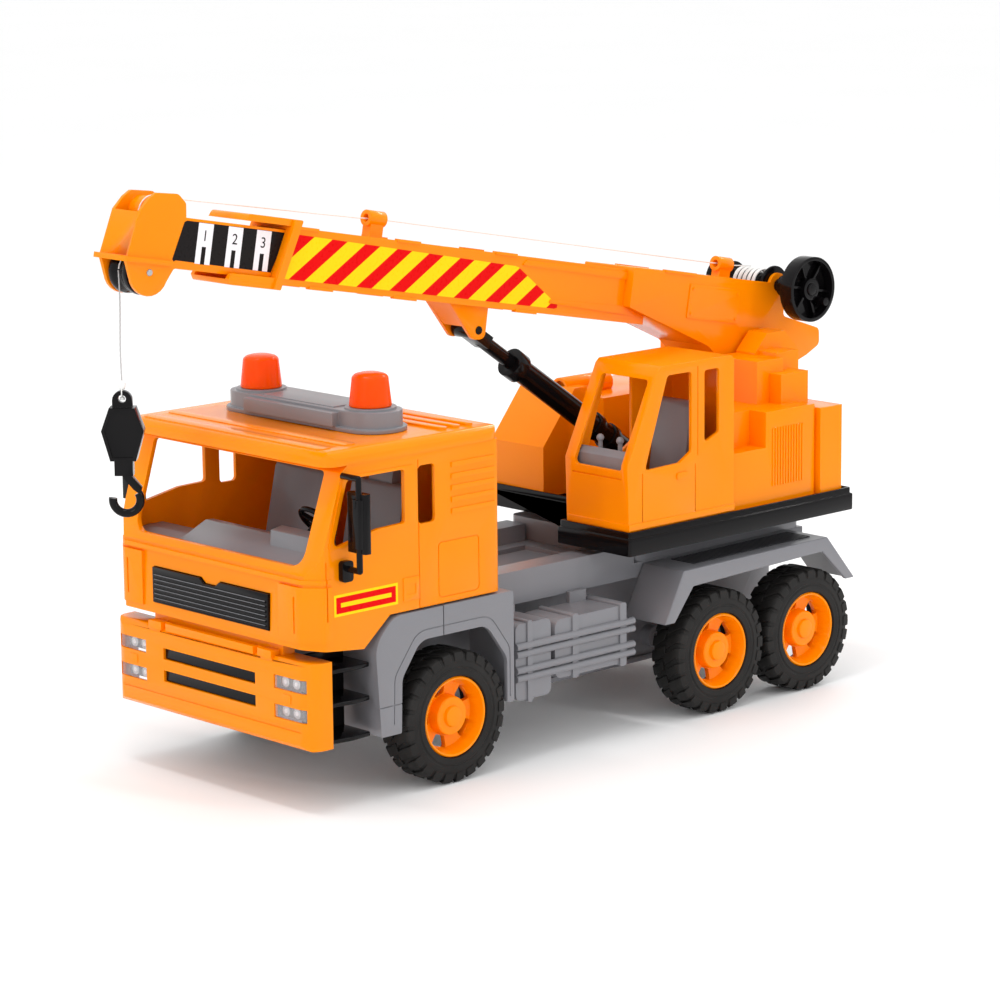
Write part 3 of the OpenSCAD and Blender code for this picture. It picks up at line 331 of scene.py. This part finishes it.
def add_lug(bm, sign, angle, long):
    """One block, from the sidewall over the shoulder to just past the middle of the tread."""
    top, base = WHEEL_R - 0.1 * MM, 36 * MM
    width = 2 * math.pi / LUGS * (0.8 if long else 0.72)
    lean = 2 * math.pi / LUGS * 0.55
    inner_x = -0.5 * MM if long else 1.2 * MM
    # stations across the tread: (x, top radius, base radius, turn of the station)
    stations = [(12.0 * MM, 35.6 * MM, 33.2 * MM, 0.0), (11.5 * MM, 38.3 * MM, base, 0.0),
                (9.6 * MM, top, base, 0.0), (5.0 * MM, top, base, lean * 0.45), (inner_x, top, base, lean)]
    across = 4
    grid = []
    for x, r_top, r_base, turn in stations:
        row = []
        for r in (r_base, r_top):
            for i in range(across + 1):
                a = angle + sign * turn + width * (i / across - 0.5) * (1.0 if r == r_base else 0.86)
                row.append(bm.verts.new((sign * x, r * math.cos(a), r * math.sin(a))))
        grid.append(row)
    n = across + 1
    for s in range(len(grid) - 1):
        a, b = grid[s], grid[s + 1]
        for i in range(across):
            bm.faces.new((a[n + i], a[n + i + 1], b[n + i + 1], b[n + i]))
            bm.faces.new((a[i + 1], a[i], b[i], b[i + 1]))
        bm.faces.new((a[0], a[n], b[n], b[0]))
        bm.faces.new((a[across], b[across], b[n + across], a[n + across]))
    for row in (grid[0], grid[-1]):
        for i in range(across):
            bm.faces.new((row[i], row[i + 1], row[n + i + 1], row[n + i]))


tyre_data = tyre_mesh()
for axle, hub_y in (("front", -111), ("mid", 113.5), ("rear", 195)):
    for side_name, sign in (("left", 1), ("right", -1)):
        tyre = bpy.data.objects.new(f"{axle}_{side_name}_treaded_tyre", tyre_data)
        bpy.context.scene.collection.objects.link(tyre)
        middle = Vector((sign * (92.5 - 12) * MM, hub_y * MM, WHEEL_R))
        tyre.matrix_world = Matrix.Translation(middle) @ Matrix.Rotation(0 if sign > 0 else math.pi, 4, "Z")
        edge = tyre.modifiers.new("edge", "BEVEL")
        edge.width = 0.35 * MM
        edge.segments = 2
        edge.limit_method = "ANGLE"
        edge.angle_limit = math.radians(32)
        edge.harden_normals = True
        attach(tyre, f"{axle}_axle_set")
        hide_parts(f"{axle}_tyre_{side_name}")

# ---- stickers --------------------------------------------------------------------


def striped_sticker(name, outline, place, cuts, materials, body):
    """An outline cut along parallel lines into bands, where each band takes the next material in turn.
    The cuts are (normal_a, normal_b, [offsets along that normal])."""
    verts, faces = prism(outline, place, PROUD)
    bm = bmesh.new()
    made = [bm.verts.new(v) for v in verts]
    for face in faces:
        bm.faces.new([made[i] for i in face])
    na, nb, offsets = cuts
    origin = place(0, 0, 0)
    axis_a, axis_b = place(1, 0, 0) - origin, place(0, 1, 0) - origin
    normal = (axis_a * na + axis_b * nb).normalized()
    scale = math.hypot(na, nb)
    for offset in offsets:
        point = origin + normal * (offset / scale)
        everything = bm.verts[:] + bm.edges[:] + bm.faces[:]
        bmesh.ops.bisect_plane(bm, geom=everything, plane_co=point, plane_no=normal)
    for face in bm.faces:
        at = (face.calc_center_median() - origin).dot(normal) * scale
        face.material_index = sum(at > offset for offset in offsets) % len(materials)
    bmesh.ops.recalc_face_normals(bm, faces=bm.faces)
    mesh = bpy.data.meshes.new(name)
    bm.to_mesh(mesh)
    bm.free()
    for mat in materials:
        mesh.materials.append(mat)
    obj = bpy.data.objects.new(name, mesh)
    bpy.context.scene.collection.objects.link(obj)
    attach(obj, body)
    return obj


def on_boom(sign, half):
    return lambda u, w, d: boom_point(sign * (half + 0.02 * MM + d), u, w)


HAZARD = [(391, 43.7), (398, 17.7), (180, 17.9), (177.6, 18.6), (177.4, 20.4), (214, 40.4), (217, 41)]
STRIPE_PITCH, RED_WIDTH, SLANT, STICKER_H = 26, 12, 30, 26
first_stripe = 391 + (43.7 - 17.7) * SLANT / STICKER_H
edges = []
for k in range(10):
    edges += [first_stripe - STRIPE_PITCH * k - RED_WIDTH, first_stripe - STRIPE_PITCH * k]
edges = sorted((e + 17.7 * SLANT / STICKER_H) * MM for e in edges)
for side_name, sign in (("left", 1), ("right", -1)):
    striped_sticker(f"hazard_sticker_{side_name}", [(u * MM, w * MM) for u, w in HAZARD],
                    on_boom(sign, TUBE_HALF), (1, SLANT / STICKER_H, edges),
                    [yellow_print, red_print], "boom")

# Scale with three numbered marks on the telescopic section
SCALE = [(475.5, 21.2), (477, 20.4), (478, 21.6), (472.4, 42.8), (470.8, 43.8), (398, 43.8), (406, 20.4)]
MARKS = [("1", 456.7), ("2", 435.1), ("3", 414.2)]
MARK_HALF = 5.4


def digit(name, text, place, height, mat, body):
    """A plain digit as a thin flat mesh."""
    curve = bpy.data.curves.new(name, "FONT")
    curve.body = text
    curve.align_x = "CENTER"
    curve.align_y = "CENTER"
    curve.size = height
    curve.extrude = 0.04 * MM
    temp = bpy.data.objects.new(name + "_curve", curve)
    bpy.context.scene.collection.objects.link(temp)
    bpy.context.view_layer.update()
    mesh = bpy.data.meshes.new_from_object(temp.evaluated_get(bpy.context.evaluated_depsgraph_get()))
    bpy.data.objects.remove(temp)
    for vert in mesh.vertices:
        vert.co = place(vert.co.x, vert.co.y, vert.co.z)
    mesh.name = name
    mesh.materials.clear()
    mesh.materials.append(mat)
    obj = bpy.data.objects.new(name, mesh)
    bpy.context.scene.collection.objects.link(obj)
    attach(obj, body)
    return recalc(obj)


for side_name, sign in (("left", 1), ("right", -1)):
    place = on_boom(sign, INNER_HALF)
    slab(f"scale_sticker_{side_name}", [(u * MM, w * MM) for u, w in SCALE], place, PROUD,
         black_print, "extension")
    for text, u in MARKS:
        raised = lambda a, b, d, u=u: place(u * MM + a, b, PROUD + d)
        slab(f"scale_mark_{text}_{side_name}",
             [(-MARK_HALF * MM, 20.6 * MM), (MARK_HALF * MM, 20.6 * MM), (MARK_HALF * MM, 43.6 * MM),
              (-MARK_HALF * MM, 43.6 * MM)], raised, 0.03 * MM, white_print, "extension")
        slab(f"scale_tick_{text}_{side_name}",
             [(-1.5 * MM, 20.5 * MM), (1.5 * MM, 20.5 * MM), (1.5 * MM, 30.4 * MM), (-1.5 * MM, 30.4 * MM)],
             raised, 0.06 * MM, black_print, "extension")
        digit(f"scale_digit_{text}_{side_name}", text,
              lambda a, b, d, u=u: place(u * MM - sign * a, 36.4 * MM + b, PROUD + 0.06 * MM + d),
              8.6 * MM, black_print, "extension")

# Door stickers: a plain red field with a yellow border and bar
for side_name, sign in (("left", 1), ("right", -1)):
    layers = [(0.0, yellow_print, "border"), (1.6, red_print, "field"), (5.0, yellow_print, "bar")]
    for i, (inset, mat, what) in enumerate(layers):
        y0, y1, z0, z1 = -201.8 + inset, -154 - inset, 113.8 + inset, 126.3 - inset
        outline = [(y0 * MM, z0 * MM), (y1 * MM, z0 * MM), (y1 * MM, z1 * MM), (y0 * MM, z1 * MM)]
        slab(f"door_sticker_{what}_{side_name}", outline,
             lambda y, z, d, i=i: Vector((sign * (CAB_SIDE + 0.02 * MM + 0.05 * MM * i + d), y, z)),
             0.06 * MM, mat, "chassis")

# ---- rope ------------------------------------------------------------------------

ROPE_SIDES = 9


def rope_mesh(name, path, body, radius=ROPE_R, lay=3.2 * MM, step=0.8 * MM, mat=white_rope):
    """Three-strand rope swept along the path, resampled so that the twist shows."""
    points = [Vector(p) for p in path]
    fine = []
    for a, b in zip(points, points[1:]):
        parts = max(1, round((b - a).length / step))
        fine += [a.lerp(b, i / parts) for i in range(parts)]
    fine.append(points[-1])
    verts, faces, run = [], [], 0.0
    across = Vector((1, 0, 0))
    for i, p in enumerate(fine):
        ahead, behind = fine[min(i + 1, len(fine) - 1)], fine[max(i - 1, 0)]
        along = (ahead - behind).normalized()
        across = (across - along * across.dot(along)).normalized()
        other = along.cross(across)
        run += (p - fine[i - 1]).length if i else 0.0
        for k in range(ROPE_SIDES):
            a = 2 * math.pi * k / ROPE_SIDES
            r = radius * (0.88 + 0.12 * math.cos(3 * (a - 2 * math.pi * run / lay / 3)))
            verts.append(p + across * (r * math.cos(a)) + other * (r * math.sin(a)))
    for i in range(len(fine) - 1):
        for k in range(ROPE_SIDES):
            a, b = i * ROPE_SIDES + k, i * ROPE_SIDES + (k + 1) % ROPE_SIDES
            faces.append([a, b, b + ROPE_SIDES, a + ROPE_SIDES])
    last = (len(fine) - 1) * ROPE_SIDES
    faces += [list(range(ROPE_SIDES))[::-1], [last + k for k in range(ROPE_SIDES)]]
    return recalc(piece(name, verts, faces, [mat], body, smooth=True))


def arc(centre, radius, first, last, step):
    """(u, w) points on a circle, in the boom's frame."""
    count = int(round(abs(last - first) / step))
    angles = [math.radians(first + (last - first) * i / count) for i in range(count + 1)]
    return [(centre[0] + radius * math.cos(a), centre[1] + radius * math.sin(a)) for a in angles]


coil_top = DRUM[1] + 10.4 * MM
boom_path = [(DRUM[0] + 4 * MM, coil_top), (7 * MM, 58.4 * MM), (27 * MM, 58.4 * MM),
             (311.5 * MM, 58.4 * MM), (331.5 * MM, 57.8 * MM)]
boom_path += arc(SADDLE, 9.5 * MM, 110, 5, 7.5) + arc(SHEAVE, 12 * MM, 12, 0, 6)
boom_line = [boom_point(0, u, w) for u, w in boom_path]
boom_rope = rope_mesh("rope_along_boom", boom_line, None)
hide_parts("boom_rope")
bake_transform(boom_rope)

hook_low, hook_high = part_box("hook_swivel")
line_low, line_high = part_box("hanging_rope")
rope_y = (line_low.y + line_high.y) / 2
drop_top = Vector((0, rope_y, line_high.z))
drop_end = Vector((0, rope_y, line_low.z))
sway = 0.5 * MM
drop = []
for i in range(19):
    t = i / 18
    drop.append(drop_top.lerp(drop_end, t) + Vector((sway, 0, 0)) * math.sin(2 * math.pi * t))
# The hanging line takes the darker rope colour, which is painted shade
hanging = rope_mesh("hanging_line", drop, None, mat=rope_painted_shade)
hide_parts("hanging_rope")
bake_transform(hanging)

# Loop of the rope's end through the hook's eye
HOOK_TURN = math.radians(45)
loop_path = []
for i in range(25):
    a = 2 * math.pi * i / 24
    off = 2.9 * MM * math.sin(a)
    loop_path.append(Vector((-off * math.sin(HOOK_TURN), rope_y + off * math.cos(HOOK_TURN),
                             (240.4 + 2.6 * math.cos(a)) * MM)))
rope_mesh("rope_loop", loop_path, "hook", radius=0.38 * MM, step=0.5 * MM)

# Rope on the drum: bunches of close turns
coil_path = []
TURNS_PER_BUNCH, BUNCHES, BUNCH_PITCH, TURN_PITCH = 3, 5, 4.1 * MM, 0.95 * MM
COIL_START = -9.2 * MM
starts = [COIL_START + b * BUNCH_PITCH + t * TURN_PITCH for b in range(BUNCHES) for t in range(TURNS_PER_BUNCH)]
starts.append(starts[-1] + TURN_PITCH)
TURN_STEPS = 24
for i in range(len(starts) - 1):
    for k in range(TURN_STEPS):
        a = 2 * math.pi * k / TURN_STEPS
        x = starts[i] + (starts[i + 1] - starts[i]) * max(0, k / TURN_STEPS - 0.7) / 0.3
        radius = 9.4 * MM
        p = boom_point(x, DRUM[0], DRUM[1])
        c, s = math.cos(a), math.sin(a)
        coil_path.append(p + Vector((0, c, s)) * radius)
coil = rope_mesh("rope_on_drum", coil_path, "winch", radius=0.6 * MM, step=2.5 * MM)
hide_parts("rope_coil")

# ---- lamps, grille lines and anti-slip pads -----------------------------------------

LAMP_HEIGHTS = (58, 75)
REFLECTOR_XS = (64.5, 74)


def facing_front(y):
    """Places an (X, Z) outline at this Y, its thickness towards the back."""
    return lambda x, z, d: Vector((x, y + d, z))


def ring_points(x, z, radius, count=20):
    return [(x + radius * math.cos(2 * math.pi * i / count), z + radius * math.sin(2 * math.pi * i / count))
            for i in range(count)]


for side_name, sign in (("left", 1), ("right", -1)):
    for height in LAMP_HEIGHTS:
        tag = f"{side_name}_{height}"
        x0, x1 = sorted((sign * 59.2 * MM, sign * 80 * MM))
        z0, z1 = (height - 3.5) * MM, (height + 3.5) * MM
        slab(f"lamp_back_{tag}", [(x0, z0), (x1, z0), (x1, z1), (x0, z1)], facing_front(-215.4 * MM),
             0.8 * MM, grey_dark, "chassis")
        for i, x in enumerate(REFLECTOR_XS):
            slab(f"lamp_reflector_{tag}_{i}", ring_points(sign * x * MM, height * MM, 3.1 * MM),
                 facing_front(-216.2 * MM), 0.7 * MM, steel, "chassis")
            slab(f"lamp_bulb_{tag}_{i}", ring_points(sign * x * MM, height * MM, 1.3 * MM),
                 facing_front(-216.5 * MM), 0.3 * MM, white_print, "chassis")
for i in range(6):
    x, z0 = 50.5 * MM, (105.4 + 2.8 * i) * MM
    z1 = z0 + 0.25 * MM
    slab(f"grille_line_{i}", [(-x, z0), (x, z0), (x, z1), (-x, z1)], facing_front(-218.9 * MM), 0.6 * MM,
         grey, "chassis")
PAD_RIDGES = 40
for side_name, sign in (("left", 1), ("right", -1)):
    for i in range(PAD_RIDGES):
        y = 98 + 2.7 * i
        z = 96 + (y - 79.5) * 1.4 / 132.5
        x0, x1 = sorted((sign * 64 * MM, sign * 84 * MM))
        y0, y1 = y * MM, (y + 1.5) * MM
        slab(f"anti_slip_ridge_{side_name}_{i}", [(x0, y0), (x1, y0), (x1, y1), (x0, y1)],
             lambda x, y, d, z=z: Vector((x, y, (z - 0.1) * MM + d)), 0.7 * MM,
             grey_dark, "chassis")

# ---- camera, floor and light -------------------------------------------------------

CAMERA_AT = Vector((1.55564, -1.45492, 0.56429))
YAW, PITCH, ROLL = 0.814659, -0.197003, -0.0101337
FOCAL = 127.213  # millimetres on a 36 mm sensor

ahead = Vector((-math.sin(YAW) * math.cos(PITCH), math.cos(YAW) * math.cos(PITCH), math.sin(PITCH)))
right = Vector((math.cos(YAW), math.sin(YAW), 0))
up = right.cross(ahead)
right, up = right * math.cos(ROLL) + up * math.sin(ROLL), up * math.cos(ROLL) - right * math.sin(ROLL)
camera_data = bpy.data.cameras.new("camera")
camera_data.lens = FOCAL
camera_data.sensor_width = 36
camera_data.clip_start = 0.05
camera_data.clip_end = 100
camera = bpy.data.objects.new("camera", camera_data)
camera.matrix_world = Matrix.Translation(CAMERA_AT) @ Matrix((right, up, -ahead)).transposed().to_4x4()
bpy.context.scene.collection.objects.link(camera)
bpy.context.scene.camera = camera


def floor():
    size = 40
    mesh = bpy.data.meshes.new("floor")
    corners = [(-size, -size, 0), (size, -size, 0), (size, size, 0), (-size, size, 0)]
    mesh.from_pydata(corners, [], [(0, 1, 2, 3)])
    mat, tree, bsdf = material("pale_floor", Roughness=0.6, Specular_IOR_Level=0.3)
    noise = add_noise(tree, 3, 2)
    stops = [(0.3, (0.965, 0.965, 0.965, 1)), (0.7, (0.975, 0.975, 0.975, 1))]
    ramp = add_ramp(tree, noise.outputs["Fac"], stops)
    tree.links.new(ramp.outputs["Color"], bsdf.inputs["Base Color"])
    mesh.materials.append(mat)
    obj = bpy.data.objects.new("floor", mesh)
    bpy.context.scene.collection.objects.link(obj)


def softbox(name, at, towards, size, power, colour=(1, 1, 1)):
    data = bpy.data.lights.new(name, "AREA")
    data.shape = "RECTANGLE"
    data.size, data.size_y = size
    data.energy = power
    data.color = colour
    obj = bpy.data.objects.new(name, data)
    obj.location = at
    obj.rotation_euler = (Vector(towards) - Vector(at)).to_track_quat("-Z", "Y").to_euler()
    bpy.context.scene.collection.objects.link(obj)


floor()
softbox("overhead_strip", (0.1, -0.5, 1.7), (0, 0, 0.1), (0.9, 0.05), 6.5)
softbox("rear_strip", (-0.2, 1.4, 1.3), (0, 0, 0.15), (0.9, 0.05), 4)
softbox("left_strip", (1.8, 0.5, 1.0), (0, 0, 0.15), (0.05, 0.8), 3.5)
softbox("front_strip", (0.5, -2.0, 0.9), (0, 0, 0.15), (0.05, 0.6), 3.5)
world = bpy.data.worlds.new("studio")
world.use_nodes = True
world.node_tree.nodes["Background"].inputs["Color"].default_value = (1, 1, 1, 1)
world.node_tree.nodes["Background"].inputs["Strength"].default_value = 1.03
bpy.context.scene.world = world
bpy.context.scene.view_settings.view_transform = "Standard"
